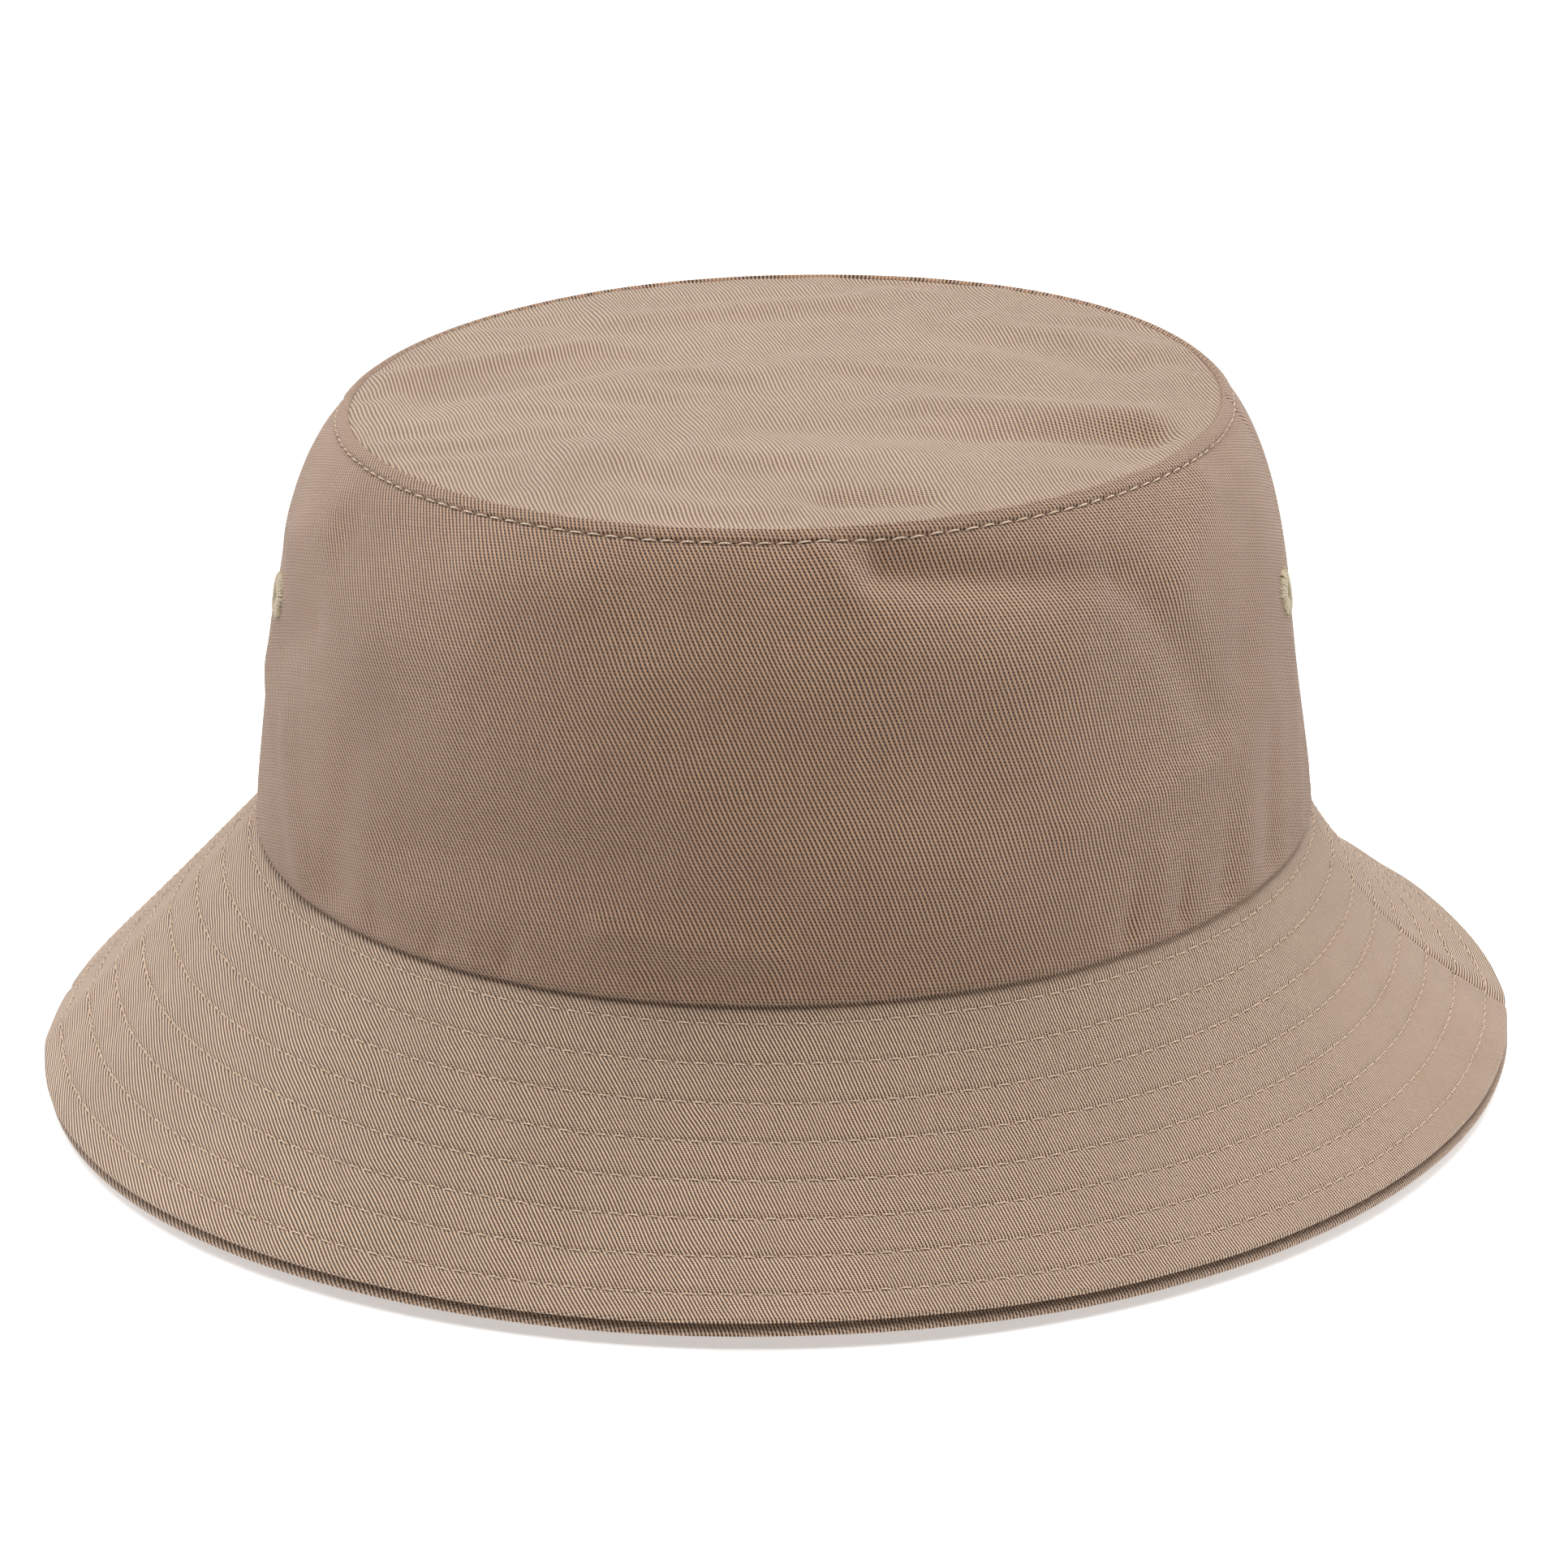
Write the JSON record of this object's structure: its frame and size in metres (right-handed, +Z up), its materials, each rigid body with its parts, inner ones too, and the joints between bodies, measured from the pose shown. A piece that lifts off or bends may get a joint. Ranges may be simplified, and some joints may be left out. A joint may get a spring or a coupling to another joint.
{
  "type": "bucket hat",
  "caption": "Soft cotton twill bucket hat with an oval flat-topped crown, a sloping brim stitched in rows, embroidered side eyelets and an inner sweatband.",
  "frame": {"origin": "on the standing surface, under the middle of the hat's box", "axes": "+Z up through the crown, the front of the hat faces -Y, +X is to the right as seen from the front"},
  "size_m": [0.26, 0.274, 0.1182],
  "materials": {
    "twill": "tan cotton twill, matt, fine diagonal weave",
    "twill_under": "the same twill on the brim's under side",
    "sewing_thread": "pale tan cotton-wrapped sewing thread",
    "eyelet_thread": "pale olive-beige embroidery thread with a low sheen",
    "sweatband_tape": "tan herringbone cotton tape",
    "stiffener": "off-white pressed interlining",
    "label_cloth": "cream woven satin label cloth, blank"
  },
  "bodies": {
    "hat": {"crown_top": "twill", "crown_band_front": "twill", "crown_band_back": "twill", "brim_top_front": "twill", "brim_top_back": "twill", "brim_under_front": "twill_under", "brim_under_back": "twill_under", "brim_interlining": "stiffener", "crown_topstitch": "sewing_thread", "brim_stitch_row_1": "sewing_thread", "brim_stitch_row_2": "sewing_thread", "brim_stitch_row_3": "sewing_thread", "brim_stitch_row_4": "sewing_thread", "brim_stitch_row_5": "sewing_thread", "brim_stitch_row_6": "sewing_thread", "brim_stitch_row_7": "sewing_thread", "brim_stitch_row_8": "sewing_thread", "eyelet_right_front": "eyelet_thread", "eyelet_right_back": "eyelet_thread", "eyelet_left_front": "eyelet_thread", "eyelet_left_back": "eyelet_thread", "sweatband": "sweatband_tape", "sweatband_stitch": "sewing_thread", "top_seam_tape": "sweatband_tape", "side_seam_tape_left": "sweatband_tape", "side_seam_tape_right": "sweatband_tape", "size_label": "label_cloth", "size_label_stitch": "sewing_thread"},
    "care_label": {"care_label": "label_cloth"}
  },
  "joints": [
    {"name": "label_flap", "type": "hinge", "parent": "hat", "child": "care_label", "pos_m": [-0.07926, 0, 0.10366], "axis": [0, -1, 0], "range_deg": [-5, 90]}
  ]
}
